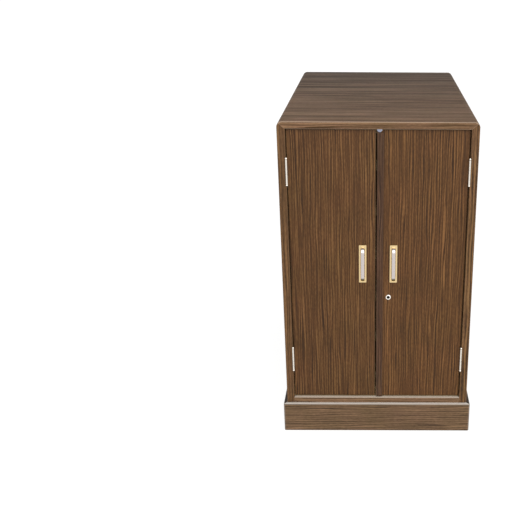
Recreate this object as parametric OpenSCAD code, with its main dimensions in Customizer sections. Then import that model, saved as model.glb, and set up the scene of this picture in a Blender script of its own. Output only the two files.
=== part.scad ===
// Two-door tansu chest in burnt paulownia, with pull-out trays behind the doors.
// Millimetres. The origin is on the floor at the middle of the plinth's footprint,
// X to the right, Y to the back, Z up. The doors are shut.

/* [Case] */
// Width of the case
case_w = 420; // [380:1:480]
// Depth of the case, front to back
case_d = 668; // [600:1:720]
// Height of the case above the plinth
case_h = 664; // [600:1:720]
// Thickness of the top panel
top_t = 15.5; // [14:0.5:22]
// Thickness of the side panels
side_t = 17; // [15:0.5:22]
// Thickness of the bottom panel
bottom_t = 13; // [11:0.5:20]
// Thickness of the back panel
back_t = 8; // [5:0.5:12]
// Radius of the rounded top corners, which run from front to back
corner_r = 12; // [6:0.5:13]
// Radius of the softened outer edge round the front
arris_r = 2; // [0.5:0.25:4]
// Radius of the softened inner edge round the door opening
lip_r = 0.8; // [0.3:0.1:2]
// How far the back panel is let into the top and the sides
rebate_w = 7; // [4:0.5:10]
// Length of the bottom panel's tongues, let into the sides
tongue_l = 6; // [3:0.5:9]
// Thickness of those tongues
tongue_t = 6; // [4:0.5:9]

/* [Plinth] */
// Height of the plinth
plinth_h = 72; // [40:1:110]
// How far the plinth stands out past the front and the sides of the case
plinth_over = 8; // [3:0.5:12]
// Thickness of the plinth boards
plinth_t = 18; // [16:0.5:26]
// Radius along the plinth's upper outer edge
plinth_r = 3; // [1:0.5:5]
// Radius of the plinth's upright corners
plinth_corner_r = 4; // [1:0.5:6]
// Side of the glue blocks in the plinth's corners
block_w = 30; // [20:1:45]

/* [Doors] */
// Thickness of the doors
door_t = 18; // [16:0.5:24]
// How far the doors lie behind the front of the case
door_recess = 8; // [5:0.5:12]
// Gap above and below the doors
door_gap = 2.4; // [1.3:0.1:3]
// Gap between the two doors
meeting_gap = 2.6; // [1.8:0.1:3]
// Place of that gap, left of the middle of the case
meeting_left = 3.5; // [2:0.5:15]
// Width of the meeting strip
strip_w = 14; // [10:0.5:22]
// Thickness of the meeting strip
strip_t = 4; // [2:0.5:4.5]
// Thickness of the door stops, front to back
stop_t = 14; // [12:0.5:20]
// Height of the door stops
stop_h = 14; // [12:0.5:15]
// Gap between a shut door and its stops
stop_gap = 0.5; // [0.3:0.1:1]

/* [Hinges] */
// Length of the hinge leaves
leaf_l = 51; // [40:1:70]
// Width of a leaf on the door's edge
leaf_w = 14; // [10:0.5:15]
// Thickness of the leaves
leaf_t = 1.2; // [0.8:0.1:1.6]
// Gap between the two leaves of a shut hinge, each let in flush
leaf_gap = 1.5; // [1.2:0.1:2]
// Radius of the knuckles
knuckle_r = 2.2; // [1.9:0.1:2.6]
// Radius of the hinge pin
pin_r = 1.2; // [0.8:0.1:1.4]
// Radius of the pin's ball tips
ball_r = 2.5; // [2:0.1:3]
// How far the hinge axis lies in front of the doors
axis_proud = 7.2; // [5:0.1:8]
// Middle of the upper hinges below the doors' top edge
hinge_from_top = 89; // [60:1:160]
// Middle of the lower hinges above the doors' bottom edge
hinge_from_bottom = 98; // [60:1:160]

/* [Handles] */
// Length of the handle plate
plate_l = 88; // [86:1:120]
// Width of the handle plate
plate_w = 16.3; // [15.5:0.1:24]
// Thickness of the handle plate at its rim
plate_t = 3; // [2:0.25:4]
// Width of the plate's raised rim
rim_w = 3.4; // [2:0.1:3.5]
// Depth of the plate's well inside the rim
well_d = 1.2; // [0.5:0.1:1.5]
// Length of the bow
bow_l = 78; // [70:1:80]
// Width of the bow
bow_w = 8.2; // [7:0.2:9.2]
// Thickness of the bow
bow_t = 4.4; // [4:0.2:5.5]
// Height of the bow's outer face above the door
bow_h = 14; // [13:0.5:24]
// Outer radius of the bow's two bends
bow_r = 10.5; // [8:0.5:12]
// Half the distance between the two handles
handle_x = 33.8; // [30:0.1:60]
// Middle of the pair of handles, right of the middle of the case
handle_right = 1; // [0:0.5:3]
// Middle of the handles above the middle of the doors
handle_rise = 17; // [-40:1:60]

/* [Lock] */
// Middle of the lock, right of the middle of the case
lock_x = 24.2; // [20:0.1:32]
// Middle of the lock below the middle of the handles
lock_drop = 80.5; // [70:0.5:140]
// Radius of the lock's ring
ring_r = 6; // [5.8:0.1:8]
// How far the ring stands out of the door
ring_t = 2.2; // [1:0.1:3]
// Radius of the lock's barrel
barrel_r = 5; // [4.2:0.1:5.5]
// Radius of the turning key plug
plug_r = 2.6; // [2.4:0.1:3.6]
// Thickness of the lock case
lock_t = 10; // [8.5:0.5:12]
// Height of the lock case
lock_h = 40; // [34:1:50]
// Height of the lock's bolt
bolt_h = 12; // [8:0.5:14]
// Throw of the lock's bolt
bolt_throw = 12; // [10:0.5:14]

/* [Surface bolts] */
// Radius of the rods
rod_r = 3; // [2.4:0.1:3.5]
// Length of the rods
rod_l = 86; // [78:1:120]
// Throw of the rods
rod_throw = 10; // [8:0.5:11]
// Length of the base plates
base_l = 58; // [54:1:70]
// Width of the base plates
base_w = 20; // [16:0.5:24]

/* [Catch] */
// Width of the folded strike plate
strike_w = 10.5; // [10:0.5:16]
// Height of its front leg
strike_h = 5; // [4.5:0.5:9]
// Thickness of the strike plate
strike_t = 0.8; // [0.5:0.1:1]
// Height of the magnet, let into the top panel
magnet_h = 8; // [5:0.5:10]

/* [Trays] */
// Height of the tray sides
tray_h = 62; // [45:1:75]
// Height of the tray fronts
front_h = 36; // [28:1:42]
// Thickness of the tray sides, fronts and backs
wall_t = 9; // [7:0.5:12]
// Thickness of the tray bottoms
floor_t = 6; // [4:0.5:9]
// Gap between a tray and the case, on each side
tray_gap = 1.5; // [1:0.25:3]
// Radius of the finger scoop in the tray fronts
scoop_r = 60; // [40:1:90]
// Depth of the finger scoop
scoop_d = 14; // [8:0.5:18]
// Width of the runners that carry the trays
runner_w = 12; // [8:0.5:16]
// Height of the runners
runner_h = 10; // [8:0.5:14]
// Room in front of the trays for the lock and the bolts
tray_setback = 30; // [26:1:50]

/* [Hidden] */
$fn = 64;

// Clearances
knuckle_clear = 0.3; // the pin's ball tips to the hollow in the side panel
knuckle_gap = 0.3;   // between two knuckles, and a knuckle to the other leaf
pin_fit = 0.05;      // round a turning pin or key plug
slide_fit = 0.06;    // round a sliding rod
screw_fit = 0.04;    // round a screw
bolt_fit = 0.3;      // round the lock's bolt in its case
keeper_fit = 0.8;    // round the lock's bolt in its keeper
hole_fit = 0.5;      // round a rod in the hole that it shoots into
over = 1;            // how far a cutting shape runs past what it cuts

// Planes of the case
plinth_d = case_d + plinth_over;
plinth_w = case_w + 2 * plinth_over;
front_y = -plinth_d / 2 + plinth_over;
back_y = plinth_d / 2;
case_z0 = plinth_h;
case_z1 = plinth_h + case_h;
inner_w = case_w - 2 * side_t;
inner_z0 = case_z0 + bottom_t;
inner_z1 = case_z1 - top_t;

// Planes of the doors
door_y0 = front_y + door_recess;
door_y1 = door_y0 + door_t;
door_z0 = inner_z0 + door_gap;
door_z1 = inner_z1 - door_gap;
door_mid_z = (door_z0 + door_z1) / 2;
left_door_x0 = -inner_w / 2 + leaf_gap;
left_door_x1 = -meeting_left - meeting_gap / 2;
right_door_x0 = -meeting_left + meeting_gap / 2;
right_door_x1 = inner_w / 2 - leaf_gap;
door_edge_r = 1;
meeting_r = 2.5;      // left door's edge at the meeting gap
strip_r = 1.2;

// Hinges, drawn about their own axis with the side panel on the -X side. The axis stands
// before the middle of the gap between the side panel and the door's edge.
axis_x = inner_w / 2 - leaf_gap / 2;
axis_y = door_y0 - axis_proud;
upper_hinge_z = door_z1 - hinge_from_top;
lower_hinge_z = door_z0 + hinge_from_bottom;
knuckles = 5;
knuckle_l = (leaf_l - (knuckles - 1) * knuckle_gap) / knuckles;
case_knuckles = [0, 2, 4];
door_knuckles = [1, 3];
collar_h = 1.2;
ball_z = collar_h + 0.9 * ball_r; // middle of a ball tip, from the end of the leaves
leaf_screw_r = 1.1;
leaf_screw_head_r = 2.2;
leaf_screw_l = 10;
leaf_screw_y = axis_proud + leaf_w * 0.58;
leaf_screw_pitch = leaf_l / 3;

// Handles
handle_z = door_mid_z + handle_rise;
plate_r = 1.5;
well_r = 2.5;
leg_z = (bow_l - bow_t) / 2;
handle_screw_r = 1.4;
handle_screw_depth = 5;
handle_head_r = 3.5;
handle_head_t = 2;

// Lock
lock_z = handle_z - lock_drop;
lock_edge = 3;        // lock case behind the door's free edge
lock_back = 14;       // lock case past the middle of the lock
lock_x0 = right_door_x0 + lock_edge;
lock_x1 = lock_x + lock_back;
lock_floor = 2.4;     // lock case's wall between the door and the bolt
bolt_t = 4;
bolt_y = door_y1 + lock_floor + bolt_fit;
bolt_tail = 3;        // bolt's rear end past the middle of the lock
barrel_in = 2;        // barrel's end inside the lock case
keeper_edge = 2;      // keeper behind the left door's free edge
keeper_x = left_door_x1 - keeper_edge;
keeper_past = 7;      // keeper past the tip of the thrown bolt
keeper_w = keeper_x - (lock_x0 - bolt_throw) + keeper_past;
keeper_wall = 1.6;
lock_screw_r = 1.3;
lock_screw_head_r = 2.6;
lock_screw_head_t = 1.6;
lock_screw_l = 18;
lock_screw_dx = 8;
lock_screw_end = 5;   // screws from the lock case's ends
lock_screw_dz = lock_h / 2 - lock_screw_end;

// Surface bolts on the inside of the left door
rod_inset = 18;       // middle of the rods behind the door's free edge
rod_x = left_door_x1 - rod_inset;
base_t = 2;
guide_l = 10;
guide_wall = 2;
rod_clear = 1;        // rod off its base plate
rod_y = door_y1 + base_t + rod_r + rod_clear;
knob_r = 2.2;
knob_h = 7;
stop_y0 = door_y1 + stop_gap;
rod_rest = 1;         // a drawn rod's end to the door stop
base_drop = 8;        // a drawn rod's end past its base plate

// Catch
strike_x = right_door_x0;
strike_top_l = 14;
strike_sink = 0.3;    // magnet above the top panel's underside
magnet_l = 20;
magnet_w = 9;
magnet_in = 4;        // magnet behind the doors' front plane
strip_top_gap = 0.5;

// Trays
TRAYS = 6;
tray_clear = 2;       // lowest tray over the door stop, and trays' backs to the back panel
tray_lift = stop_h + tray_clear;
tray_pitch = (inner_z1 - inner_z0 - tray_lift) / TRAYS;
tray_y0 = door_y1 + tray_setback;
tray_y1 = back_y - back_t - tray_clear;
tray_w = inner_w - 2 * tray_gap;
sweep_r = tray_h - front_h;   // the curve where a tray side rises from its front
sweep_y = 70;                 // where that curve begins, behind the tray front

// ---------- shared shapes ----------

// The sliver that rounds a square corner at the origin to radius r
module corner_sliver(r) {
    difference() {
        translate([-over, -over]) square(r + over);
        translate([r, r]) circle(r = r);
    }
}

// A w by h rectangle with its corner at the origin. The four radii go round from the origin
// by way of the +X corner; 0 leaves a corner square.
module soft_rect(w, h, radii) {
    difference() {
        square([w, h]);
        if (radii[0] > 0) corner_sliver(radii[0]);
        if (radii[1] > 0) translate([w, 0]) mirror([1, 0]) corner_sliver(radii[1]);
        if (radii[2] > 0) translate([w, h]) rotate(180) corner_sliver(radii[2]);
        if (radii[3] > 0) translate([0, h]) mirror([0, 1]) corner_sliver(radii[3]);
    }
}

// Extrudes a profile drawn as (Y, Z) along +X
module along_x(l) {
    rotate([90, 0, 90]) linear_extrude(l) children();
}

// Extrudes a profile drawn as (X, Z) along +Y
module along_y(l) {
    translate([0, l, 0]) rotate([90, 0, 0]) linear_extrude(l) children();
}

// A child and its mirror image across the middle of the case
module both_sides() {
    children();
    mirror([1, 0, 0]) children();
}

// side is -1 for the left and 1 for the right; the child is drawn for the left
module on_side(side) {
    mirror([side > 0 ? 1 : 0, 0, 0]) children();
}

// A cylinder along +Y that starts at the origin
module rod_y_way(r, l) {
    rotate([-90, 0, 0]) cylinder(r = r, h = l);
}

// ---------- case ----------

// Top and both sides in one, with the rounded corners and the softened front edges
module carcass_stock() {
    bend_x = case_w / 2 - corner_r;
    bend_z = case_z1 - corner_r;
    translate([-bend_x, front_y, inner_z1])
        along_x(2 * bend_x) soft_rect(case_d, top_t, [lip_r, 0, 0, arris_r]);
    both_sides() {
        translate([bend_x, back_y, bend_z])
            rotate([90, 0, 0]) rotate_extrude(angle = 90)
                soft_rect(corner_r, case_d, [0, 0, arris_r, 0]);
        translate([-case_w / 2, front_y, case_z0])
            linear_extrude(bend_z - case_z0) soft_rect(side_t, case_d, [arris_r, lip_r, 0, 0]);
    }
}

// The mitre between top and side runs from the inner corner through the outer one
mitre_in = [inner_w / 2, inner_z1];
mitre_out = mitre_in + 1.5 * [side_t, top_t];

module back_panel_shape() {
    translate([-inner_w / 2 - rebate_w, back_y - back_t, case_z0])
        cube([inner_w + 2 * rebate_w, back_t, inner_z1 + rebate_w - case_z0]);
}

module bottom_tongues() {
    both_sides()
        translate([inner_w / 2, front_y + door_recess + door_t, case_z0 + (bottom_t - tongue_t) / 2])
            cube([tongue_l, case_d - door_recess - door_t - back_t, tongue_t]);
}

module top_panel() {
    color("#6d5038") difference() {
        intersection() {
            carcass_stock();
            translate([0, front_y, 0]) along_y(case_d) polygon([
                [-mitre_in[0], mitre_in[1]], mitre_in,
                mitre_out, [-mitre_out[0], mitre_out[1]]
            ]);
        }
        back_panel_shape();
        magnet_shape(over);
    }
}

module side_panel(side) {
    color("#664a33") on_side(side) difference() {
        intersection() {
            carcass_stock();
            translate([0, front_y, 0]) along_y(case_d) polygon([
                [-mitre_in[0], mitre_in[1]], [-mitre_out[0], mitre_out[1]],
                [-case_w, mitre_out[1]], [-case_w, case_z0], [-mitre_in[0], case_z0]
            ]);
        }
        back_panel_shape();
        bottom_tongues();
        case_hinge_cuts();
    }
}

module bottom_panel() {
    color("#6d5038") {
        translate([-inner_w / 2, front_y, case_z0])
            along_x(inner_w) soft_rect(case_d - back_t, bottom_t, [0, 0, 0, arris_r]);
        bottom_tongues();
    }
}

module back_panel() {
    color("#c9b28a") back_panel_shape();
}

// ---------- plinth ----------

// Footprint of one plinth board, mitred at both ends; l is its outer length
module plinth_footprint(l) {
    polygon([[0, 0], [l, 0], [l - plinth_t, plinth_t], [plinth_t, plinth_t]]);
}

// A plinth board along X with its outer face on Y = 0; r rounds its upper outer edge
module plinth_board(l, r) {
    intersection() {
        along_x(l) soft_rect(plinth_t, plinth_h, [0, 0, 0, r]);
        linear_extrude(plinth_h) intersection() {
            plinth_footprint(l);
            soft_rect(l, plinth_t, [plinth_corner_r, plinth_corner_r, 0, 0]);
        }
    }
}

module plinth_front() {
    color("#705840") translate([-plinth_w / 2, -plinth_d / 2, 0]) plinth_board(plinth_w, plinth_r);
}

module plinth_back() {
    color("#705840") translate([plinth_w / 2, plinth_d / 2, 0])
        rotate(180) plinth_board(plinth_w, 0);
}

module plinth_side(side) {
    color("#705840") on_side(side)
        translate([-plinth_w / 2, plinth_d / 2, 0]) rotate(-90) plinth_board(plinth_d, plinth_r);
}

module plinth_blocks() {
    color("#b59c74") for (sx = [-1, 1]) for (sy = [-1, 1])
        translate([sx * (plinth_w / 2 - plinth_t), sy * (plinth_d / 2 - plinth_t), 0])
            linear_extrude(plinth_h)
                polygon([[0, 0], [-sx * block_w, 0], [0, -sy * block_w]]);
}

// ---------- runners, stops and trays ----------

function tray_z(i) = inner_z0 + tray_lift + i * tray_pitch;

module tray_runners(side) {
    color("#d6c096") on_side(side) for (i = [0 : TRAYS - 1])
        translate([-inner_w / 2, tray_y0, tray_z(i) - runner_h])
            cube([runner_w, back_y - back_t - tray_y0, runner_h]);
}

// A door stop from side to side; the rod hole takes a thrown surface bolt
module door_stop(z) {
    difference() {
        translate([-inner_w / 2, stop_y0, z]) cube([inner_w, stop_t, stop_h]);
        translate([rod_x, rod_y, z - over]) cylinder(r = rod_r + hole_fit, h = stop_h + 2 * over);
    }
}

module door_stop_top() {
    color("#d6c096") door_stop(inner_z1 - stop_h);
}

module door_stop_bottom() {
    color("#d6c096") door_stop(inner_z0);
}

// Side view of a tray side: low at the front, then a sweep up to its full height
module tray_side_outline(l) {
    difference() {
        square([l, tray_h]);
        translate([-over, front_h]) square([sweep_y + over, tray_h]);
        translate([sweep_y, tray_h]) circle(r = sweep_r);
    }
}

module tray(i) {
    l = tray_y1 - tray_y0;
    inner = tray_w - 2 * wall_t;
    color("#dcc79f") translate([0, tray_y0, tray_z(i)]) {
        both_sides() translate([-tray_w / 2, 0, 0]) along_x(wall_t) tray_side_outline(l);
        translate([-inner / 2, 0, 0]) difference() {
            cube([inner, wall_t, front_h]);
            translate([inner / 2, -over, front_h - scoop_d + scoop_r])
                rod_y_way(scoop_r, wall_t + 2 * over);
        }
        translate([-inner / 2, l - wall_t, 0]) cube([inner, wall_t, tray_h]);
        translate([-inner / 2, wall_t, 0]) cube([inner, l - 2 * wall_t, floor_t]);
    }
}

// ---------- hinges ----------

// Moves a hinge drawn for the left side to one of the four places
module at_hinge(side, z) {
    on_side(side) translate([-axis_x, axis_y, z]) children();
}

module at_all_hinges(side) {
    for (z = [upper_hinge_z, lower_hinge_z]) at_hinge(side, z) children();
}

// Cylinders about the axis over the listed knuckles, with extra radius and length
module knuckle_row(which, extra) {
    for (i = which)
        translate([0, 0, -leaf_l / 2 + i * (knuckle_l + knuckle_gap) - extra])
            cylinder(r = knuckle_r + extra, h = knuckle_l + 2 * extra);
}

// A countersunk screw along -X from the leaf's face at the origin
module leaf_screw(fit) {
    rotate([0, -90, 0]) {
        cylinder(r1 = leaf_screw_head_r + fit, r2 = leaf_screw_r + fit, h = leaf_t);
        cylinder(r = leaf_screw_r + fit, h = leaf_screw_l);
    }
}

// The screws of a leaf whose open face is at x; way is 1 into the side panel, -1 into the door
module leaf_screws(x, way, fit) {
    for (i = [-1 : 1])
        translate([x, leaf_screw_y, i * leaf_screw_pitch])
            mirror([way > 0 ? 0 : 1, 0, 0]) leaf_screw(fit);
}

// Faces of the leaves, from the axis
case_leaf_face = -leaf_gap / 2;
door_leaf_face = leaf_gap / 2;

module leaf(x, way, own, other) {
    color("#e2d9c6") difference() {
        union() {
            difference() {
                translate([x - (way > 0 ? leaf_t : 0), 0, -leaf_l / 2])
                    cube([leaf_t, axis_proud + leaf_w, leaf_l]);
                knuckle_row(other, knuckle_gap);
            }
            knuckle_row(own, 0);
        }
        translate([0, 0, -leaf_l]) cylinder(r = pin_r + pin_fit, h = 2 * leaf_l);
        leaf_screws(x, way, screw_fit);
    }
}

module case_leaf(side, z) {
    at_hinge(side, z) leaf(case_leaf_face, 1, case_knuckles, door_knuckles);
}

module door_leaf(side, z) {
    at_hinge(side, z) leaf(door_leaf_face, -1, door_knuckles, case_knuckles);
}

// The pin with a collar and a ball at each end
module hinge_pin(side, z) {
    color("#efe9dc") at_hinge(side, z) {
        cylinder(r = pin_r, h = leaf_l + collar_h, center = true);
        for (s = [0, 1]) mirror([0, 0, s]) translate([0, 0, leaf_l / 2]) {
            cylinder(r = knuckle_r, h = collar_h);
            translate([0, 0, ball_z]) sphere(r = ball_r);
        }
    }
}

// What the hinges take out of a side panel: a recess for each leaf, a hollow for the knuckles
// with their ball tips, and the screws' holes
module case_hinge_cuts() {
    at_all_hinges(-1) {
        translate([case_leaf_face - leaf_t, 0, -leaf_l / 2])
            cube([leaf_t + over, axis_proud + leaf_w, leaf_l]);
        cylinder(r = ball_r + knuckle_clear, h = leaf_l + 2 * (ball_z + ball_r + knuckle_clear),
                 center = true);
        leaf_screws(case_leaf_face, 1, screw_fit);
    }
}

module case_leaf_screws() {
    color("#d8cfbc") for (side = [-1, 1]) at_all_hinges(side) leaf_screws(case_leaf_face, 1, 0);
}

module door_leaf_screws(side) {
    color("#d8cfbc") at_all_hinges(side) leaf_screws(door_leaf_face, -1, 0);
}

// What the hinges take out of a door's edge
module door_hinge_cuts(side) {
    at_all_hinges(side) {
        translate([door_leaf_face - over, axis_proud - over, -leaf_l / 2])
            cube([leaf_t + over, leaf_w + over, leaf_l]);
        leaf_screws(door_leaf_face, -1, screw_fit);
    }
}

// ---------- doors ----------

// A door board between x0 and x1; r0 and r1 round its front edges there
module door_board(x0, x1, r0, r1) {
    translate([x0, door_y0, door_z0])
        linear_extrude(door_z1 - door_z0) soft_rect(x1 - x0, door_t, [r0, r1, 0, 0]);
}

module left_door() {
    color("#6a4c33") difference() {
        door_board(left_door_x0, left_door_x1, door_edge_r, meeting_r);
        door_hinge_cuts(-1);
        handle_screws_at(-1, screw_fit);
    }
}

module right_door() {
    color("#725237") difference() {
        door_board(right_door_x0, right_door_x1, door_edge_r, door_edge_r);
        door_hinge_cuts(1);
        handle_screws_at(1, screw_fit);
        lock_barrel_shape(0);
        lock_screws_at(screw_fit);
    }
}

module meeting_strip() {
    color("#50392a") translate([right_door_x0, door_y0 - strip_t, door_z0])
        linear_extrude(door_z1 - strike_h - strip_top_gap - door_z0)
            soft_rect(strip_w, strip_t, [strip_r, strip_r, 0, 0]);
}

// ---------- handles ----------

module at_handle(side) {
    translate([handle_right + side * handle_x, door_y0, handle_z]) children();
}

// Outline of the plate, w by l, about the origin
module plate_outline(w, l, r) {
    translate([-w / 2, -l / 2]) soft_rect(w, l, [r, r, r, r]);
}

module handle_plate(side) {
    color("#dcb965") at_handle(side) difference() {
        translate([0, -plate_t, 0]) along_y(plate_t) plate_outline(plate_w, plate_l, plate_r);
        translate([0, -plate_t - over, 0]) along_y(well_d + over)
            plate_outline(plate_w - 2 * rim_w, plate_l - 2 * rim_w, well_r);
        handle_screws_local(screw_fit);
    }
}

// Section of the bow, X across, with its crowned outer face at Y = bow_t
module bow_section() {
    crown_r = bow_t * 0.4;
    back_r = 0.6;
    translate([-bow_w / 2, 0]) soft_rect(bow_w, bow_t, [back_r, back_r, crown_r, crown_r]);
}

module handle_bow(side) {
    floor_y = plate_t - well_d;
    straight = bow_l / 2 - bow_r;
    color("#cfccc6") at_handle(side) difference() {
        union() {
            translate([0, -bow_h + bow_t, -straight])
                linear_extrude(2 * straight) mirror([0, 1]) bow_section();
            for (s = [0, 1]) mirror([0, 0, s]) {
                translate([0, -bow_h + bow_r, straight]) rotate([0, 90, 0]) rotate(180)
                    rotate_extrude(angle = 90)
                        translate([bow_r - bow_t, 0]) rotate(-90) bow_section();
                translate([0, -floor_y, straight + bow_r - bow_t]) rotate([90, 0, 0])
                    linear_extrude(bow_h - bow_r - floor_y) bow_section();
            }
        }
        handle_screws_local(screw_fit);
    }
}

// The two screws, from the inside of the door into the bow's legs
module handle_screws_local(fit) {
    for (s = [-1, 1]) translate([0, 0, s * leg_z]) {
        translate([0, -handle_screw_depth, 0])
            rod_y_way(handle_screw_r + fit, door_t + handle_screw_depth);
    }
}

module handle_screws_at(side, fit) {
    at_handle(side) handle_screws_local(fit);
}

module handle_screws(side) {
    color("#b9b4aa") at_handle(side) {
        handle_screws_local(0);
        for (s = [-1, 1]) translate([0, door_t, s * leg_z]) rod_y_way(handle_head_r, handle_head_t);
    }
}

// ---------- lock ----------

module at_lock() {
    translate([lock_x, door_y0, lock_z]) children();
}

module lock_barrel_shape(fit) {
    at_lock() rod_y_way(barrel_r + fit, door_t + barrel_in);
}

// Ring and barrel in one turned piece, with a funnel down to the plug
module lock_ring() {
    mouth = 1;
    color("#dcd8d0") at_lock() rotate([-90, 0, 0]) rotate_extrude() difference() {
        union() {
            translate([0, -ring_t]) soft_rect(ring_r, ring_t, [0, ring_t * 0.6, 0, 0]);
            translate([0, -over]) square([barrel_r, door_t + barrel_in + over]);
        }
        translate([-over, -ring_t - over])
            square([plug_r + pin_fit + over, door_t + barrel_in + ring_t + 2 * over]);
        translate([0, -ring_t]) polygon([
            [0, -over], [plug_r + mouth + over, -over],
            [plug_r + mouth, 0], [plug_r, mouth + pin_fit], [0, mouth + pin_fit]
        ]);
    }
}

// The plug that the key turns, with its keyway
module key_plug() {
    face = 3.5;  // the plug's face, sunk behind the ring's front
    short = 0.2; // the plug's end inside the barrel
    keyway_w = 1.2;
    keyway_h = plug_r * 1.5;
    keyway_l = 12;
    color("#6b5f45") at_lock() difference() {
        translate([0, -ring_t + face, 0]) rod_y_way(plug_r, door_t + ring_t - face + barrel_in - short);
        translate([-keyway_w / 2, -ring_t, -keyway_h / 2]) cube([keyway_w, keyway_l, keyway_h]);
    }
}

// Rim lock case on the inside of the right door, with the bolt's channel
module lock_case() {
    channel_x = lock_x + bolt_tail + bolt_fit;
    r = 2;
    color("#c2b48c") difference() {
        translate([lock_x0, door_y1, lock_z - lock_h / 2]) along_y(lock_t)
            soft_rect(lock_x1 - lock_x0, lock_h, [r, r, r, r]);
        translate([lock_x0 - over, bolt_y - bolt_fit, lock_z - bolt_h / 2 - bolt_fit])
            cube([channel_x - lock_x0 + over, bolt_t + 2 * bolt_fit, bolt_h + 2 * bolt_fit]);
        lock_barrel_shape(screw_fit);
        lock_screws_at(screw_fit);
    }
}

// The bolt, drawn back at rest
module lock_bolt() {
    color("#d9cfae") translate([lock_x0, bolt_y, lock_z - bolt_h / 2])
        cube([lock_x + bolt_tail - lock_x0, bolt_t, bolt_h]);
}

module lock_screws_at(fit) {
    for (dx = [-lock_screw_dx, lock_screw_dx]) for (dz = [-1, 1])
        translate([lock_x + dx, door_y1 + lock_t, lock_z + dz * lock_screw_dz])
            rotate([90, 0, 0]) {
                cylinder(r = lock_screw_r + fit, h = lock_screw_l);
                cylinder(r1 = lock_screw_head_r + fit, r2 = lock_screw_r + fit, h = lock_screw_head_t);
            }
}

module lock_case_screws() {
    color("#a89a72") lock_screws_at(0);
}

// A staple on the inside of the left door that takes the thrown bolt
module lock_keeper() {
    h = bolt_h + 2 * keeper_fit + 2 * keeper_wall;
    deep = bolt_y + bolt_t + keeper_fit - door_y1;
    color("#c2b48c") translate([keeper_x - keeper_w, door_y1, lock_z - h / 2]) difference() {
        cube([keeper_w, deep + keeper_wall, h]);
        translate([-over, -over, keeper_wall])
            cube([keeper_w + 2 * over, deep + over, h - 2 * keeper_wall]);
    }
}

// ---------- surface bolts ----------

// Drawn for the upper bolt, its rod's end at the origin and the rod running down
module upright(up) {
    translate([rod_x, rod_y, up ? inner_z1 - stop_h - rod_rest : inner_z0 + stop_h + rod_rest])
        mirror([0, 0, up ? 0 : 1]) children();
}

base_z = -base_drop - base_l; // lower end of the base plate, from the rod's end

module bolt_body(up) {
    guide_r = rod_r + guide_wall;
    color("#cdbf95") upright(up) difference() {
        union() {
            translate([-base_w / 2, door_y1 - rod_y, base_z]) cube([base_w, base_t, base_l]);
            for (z = [base_z, base_z + base_l - guide_l]) translate([0, 0, z]) {
                cylinder(r = guide_r, h = guide_l);
                translate([-guide_r, door_y1 - rod_y, 0]) cube([2 * guide_r, rod_y - door_y1, guide_l]);
            }
        }
        translate([0, 0, base_z - over]) cylinder(r = rod_r + slide_fit, h = base_l + 2 * over);
    }
}

module bolt_rod(up) {
    knob_z = base_z + guide_l + knob_r + (base_l - 2 * guide_l - 2 * knob_r - rod_throw) / 2;
    color("#dcd2b4") upright(up) {
        translate([0, 0, -rod_l]) cylinder(r = rod_r, h = rod_l);
        translate([0, 0, knob_z]) rod_y_way(knob_r, rod_r + knob_h);
    }
}

// ---------- catch ----------

// The magnet's block, let into the underside of the top panel; down lengthens it downward
module magnet_shape(down) {
    translate([strike_x + (strike_w - magnet_l) / 2, door_y0 + magnet_in, inner_z1 + strike_sink - down])
        cube([magnet_l, magnet_w, magnet_h + down]);
}

module catch_magnet() {
    color("#3b3532") magnet_shape(0);
}

// Thin plate folded over the top of the right door's free corner, with clipped lower corners
module catch_strike() {
    clip = 0.3 * strike_w;
    color("#cfd3da") translate([strike_x, door_y0 - strike_t, door_z1]) {
        cube([strike_w, strike_top_l + strike_t, strike_t]);
        along_y(strike_t) polygon([
            [0, strike_t], [0, clip - strike_h], [clip, -strike_h],
            [strike_w - clip, -strike_h], [strike_w, clip - strike_h], [strike_w, strike_t]
        ]);
    }
}

// ---------- parts ----------

top_panel();
bottom_panel();
side_panel(-1);  // left_side_panel
side_panel(1);  // right_side_panel
back_panel();
plinth_front();
plinth_back();
plinth_side(-1);  // plinth_left
plinth_side(1);  // plinth_right
plinth_blocks();
tray_runners(-1);  // tray_runners_left
tray_runners(1);  // tray_runners_right
door_stop_top();
door_stop_bottom();
left_door();
right_door();
meeting_strip();
case_leaf(-1, upper_hinge_z);  // left_upper_case_leaf
door_leaf(-1, upper_hinge_z);  // left_upper_door_leaf
hinge_pin(-1, upper_hinge_z);  // left_upper_hinge_pin
case_leaf(-1, lower_hinge_z);  // left_lower_case_leaf
door_leaf(-1, lower_hinge_z);  // left_lower_door_leaf
hinge_pin(-1, lower_hinge_z);  // left_lower_hinge_pin
case_leaf(1, upper_hinge_z);  // right_upper_case_leaf
door_leaf(1, upper_hinge_z);  // right_upper_door_leaf
hinge_pin(1, upper_hinge_z);  // right_upper_hinge_pin
case_leaf(1, lower_hinge_z);  // right_lower_case_leaf
door_leaf(1, lower_hinge_z);  // right_lower_door_leaf
hinge_pin(1, lower_hinge_z);  // right_lower_hinge_pin
case_leaf_screws();
door_leaf_screws(-1);  // left_door_leaf_screws
door_leaf_screws(1);  // right_door_leaf_screws
handle_plate(-1);  // left_handle_plate
handle_bow(-1);  // left_handle_bow
handle_screws(-1);  // left_handle_screws
handle_plate(1);  // right_handle_plate
handle_bow(1);  // right_handle_bow
handle_screws(1);  // right_handle_screws
lock_ring();
key_plug();
lock_case();
lock_bolt();
lock_case_screws();
lock_keeper();
bolt_body(true);  // upper_bolt_body
bolt_rod(true);  // upper_bolt_rod
bolt_body(false);  // lower_bolt_body
bolt_rod(false);  // lower_bolt_rod
catch_magnet();
catch_strike();
tray(0);  // tray_1
tray(1);  // tray_2
tray(2);  // tray_3
tray(3);  // tray_4
tray(4);  // tray_5
tray(5);  // tray_6
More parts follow.
